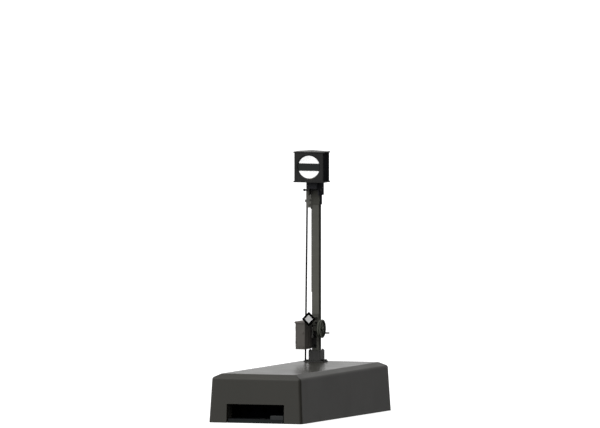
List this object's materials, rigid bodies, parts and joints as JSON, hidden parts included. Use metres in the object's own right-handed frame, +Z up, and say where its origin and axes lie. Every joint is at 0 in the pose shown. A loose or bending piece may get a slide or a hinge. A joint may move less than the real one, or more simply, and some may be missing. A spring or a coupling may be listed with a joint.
{
  "type": "model railway shunting signal",
  "caption": "Small-scale shunting signal: a black lantern with a turning white disc and black bar, on a slim mast over a flat bevelled drive housing.",
  "frame": {"origin": "middle of the drive housing's underside", "axes": "+Z up, -Y towards the lantern's face and the cable mouth, +X to the right when the lantern is looked at"},
  "size_m": [0.031, 0.0798, 0.0815],
  "materials": {
    "housing": "satin moulded grey plastic",
    "plate": "dark matt steel",
    "screws": "zinc plated",
    "dark_bolts": "blackened steel",
    "insulation": "moulded phenolic",
    "copper": "enamelled copper wire",
    "iron": "soft iron",
    "brass": "plain brass",
    "black_plastic": "black moulded",
    "mast_paint": "matt grey paint",
    "socket_paint": "dark grey paint",
    "rod_steel": "grey painted wire",
    "black_wire": "blackened wire",
    "lantern_black": "satin black paint",
    "roof_grey": "weathered grey paint",
    "disc_white": "white enamel",
    "disc_black": "black enamel",
    "linkage": "bare steel",
    "bulb_glass": "clear",
    "box_paint": "brown grey paint",
    "fitting_grey": "grey paint"
  },
  "bodies": {
    "base": {"base_housing": "housing", "base_plate": "plate", "rocker_bracket": "plate", "base_plate_screws": "screws", "bracket_screws": "screws", "terminal_screws": "screws", "back_cover_screws": "screws", "foot_bolts": "dark_bolts", "mast_bolts": "dark_bolts", "clamp_knob": "dark_bolts", "phone_bracket": "dark_bolts", "switch_board": "insulation", "coil_bobbins": "insulation", "coil_windings": "copper", "solenoid_yoke": "iron", "contact_springs": "brass", "shaft_bush": "brass", "lamp_holder": "brass", "rod_grommet": "black_plastic", "terminal_block": "black_plastic", "mast": "mast_paint", "lamp_conduit": "mast_paint", "rod_guide": "mast_paint", "mast_socket": "socket_paint", "mast_foot": "socket_paint", "lantern_front": "lantern_black", "lantern_housing": "lantern_black", "lantern_floor": "lantern_black", "lantern_back": "lantern_black", "lantern_rim": "lantern_black", "neck_bracket": "lantern_black", "lantern_roof": "roof_grey", "sign_plate": "disc_white", "sign_frame": "disc_black", "clamp_bolt": "linkage", "lamp_bulb": "bulb_glass", "phone_box": "box_paint", "phone_door": "box_paint", "phone_lid": "box_paint", "sign_bracket": "fitting_grey", "pulley_bearing": "fitting_grey"},
    "plunger": {"plunger_core": "iron", "push_rod": "brass", "driver_head": "black_plastic"},
    "rocker": {"rocker_shaft": "iron", "plunger_arm": "brass", "rod_arm": "brass"},
    "rod": {"signal_rod": "rod_steel", "drive_wire": "black_wire", "rod_coupler": "rod_steel", "rod_bottom_eye": "rod_steel", "rod_top_eye": "rod_steel"},
    "signal": {"disc": "disc_white", "disc_bar": "disc_black", "disc_shaft": "linkage", "disc_crank": "linkage"},
    "pulley": {"pulley_wheel": "fitting_grey", "pulley_shaft": "linkage", "pulley_crank_pin": "linkage", "pulley_lever": "fitting_grey"}
  },
  "joints": [
    {"name": "plunger_slide", "type": "slide", "parent": "base", "child": "plunger", "axis": [0, 1, 0], "range_m": [0, 0.00298]},
    {"name": "rocker_turn", "type": "hinge", "parent": "base", "child": "rocker", "pos_m": [0, 0.02723, 0.0039], "axis": [-1, 0, 0], "range_deg": [0, 45.01]},
    {"name": "rod_slide", "type": "slide", "parent": "base", "child": "rod", "axis": [-0.0117, 0, -0.9999], "range_m": [0, 0.0023]},
    {"name": "signal_turn", "type": "hinge", "parent": "base", "child": "signal", "pos_m": [-0.006, 0.0255, 0.0763], "axis": [0, -1, 0], "range_deg": [0, 45.01]},
    {"name": "pulley_turn", "type": "hinge", "parent": "base", "child": "pulley", "pos_m": [-0.00375, 0.02875, 0.02565], "axis": [-1, 0, 0], "range_deg": [0, 35]}
  ],
  "couplings": [
    {"joint": "rocker_turn", "follows": "plunger_slide", "rad_per_m": 263.12},
    {"joint": "rod_slide", "follows": "plunger_slide", "ratio": 0.76923},
    {"joint": "signal_turn", "follows": "plunger_slide", "rad_per_m": 263.12}
  ]
}
